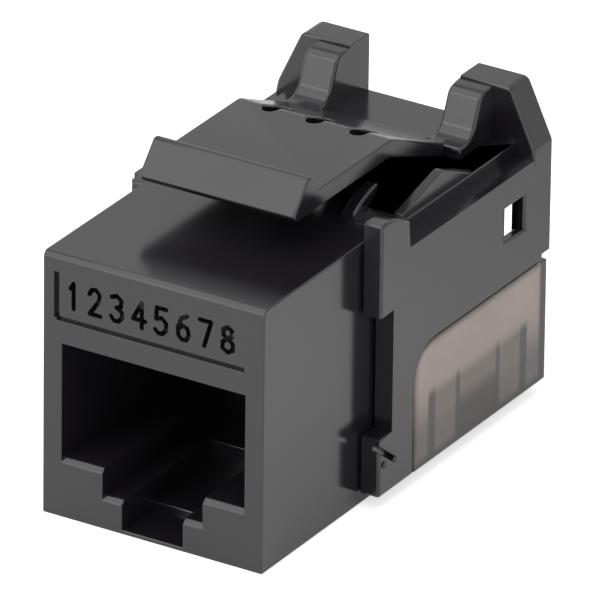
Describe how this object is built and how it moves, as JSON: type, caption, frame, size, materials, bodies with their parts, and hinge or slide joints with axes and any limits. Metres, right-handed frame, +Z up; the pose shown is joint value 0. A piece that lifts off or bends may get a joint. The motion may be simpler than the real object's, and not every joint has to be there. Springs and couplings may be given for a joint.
{
  "type": "keystone jack",
  "caption": "Snap-in data jack module with a stepped plug port, sprung panel latch, rear ears and a slide-off smoke wire cap.",
  "frame": {"origin": "middle of the nose's bottom edge at the front face", "axes": "+X across the nose to the right seen from the front, +Y from the front face to the cable end, +Z up"},
  "size_m": [0.0174, 0.029, 0.0206],
  "materials": {
    "black_plastic": "moulded, satin gloss",
    "smoke_plastic": "translucent smoke polycarbonate",
    "board": "solder mask over glass-fibre laminate",
    "dark_moulding": "moulded glass-filled plastic",
    "gold_plate": "gold-plated spring wire",
    "tin_plate": "tin-plated stamped bronze"
  },
  "bodies": {
    "housing": {"front_housing": "black_plastic", "rear_shell": "black_plastic", "latch_spring": "black_plastic", "circuit_board": "board", "contact_carrier": "dark_moulding", "wire_block": "dark_moulding", "terminal_left_1": "tin_plate", "terminal_left_2": "tin_plate", "terminal_left_3": "tin_plate", "terminal_left_4": "tin_plate", "terminal_right_1": "tin_plate", "terminal_right_2": "tin_plate", "terminal_right_3": "tin_plate", "terminal_right_4": "tin_plate"},
    "latch": {"latch_lever": "black_plastic"},
    "contacts": {"contact_spring_1": "gold_plate", "contact_spring_2": "gold_plate", "contact_spring_3": "gold_plate", "contact_spring_4": "gold_plate", "contact_spring_5": "gold_plate", "contact_spring_6": "gold_plate", "contact_spring_7": "gold_plate", "contact_spring_8": "gold_plate"},
    "cap": {"wire_cap": "smoke_plastic"}
  },
  "joints": [
    {"name": "latch_press", "type": "hinge", "parent": "housing", "child": "latch", "pos_m": [0, 0.02273, 0.0166], "axis": [1, 0, 0], "range_deg": [0, 6], "stiffness_Nm_per_rad": 0.05, "deforming": ["latch_spring"]},
    {"name": "contact_flex", "type": "hinge", "parent": "housing", "child": "contacts", "pos_m": [0, 0.0046, 0.01125], "axis": [1, 0, 0], "range_deg": [0, 8], "stiffness_Nm_per_rad": 0.002},
    {"name": "cap_slide", "type": "slide", "parent": "housing", "child": "cap", "axis": [0, 0, -1], "range_m": [0, 0.009]}
  ]
}
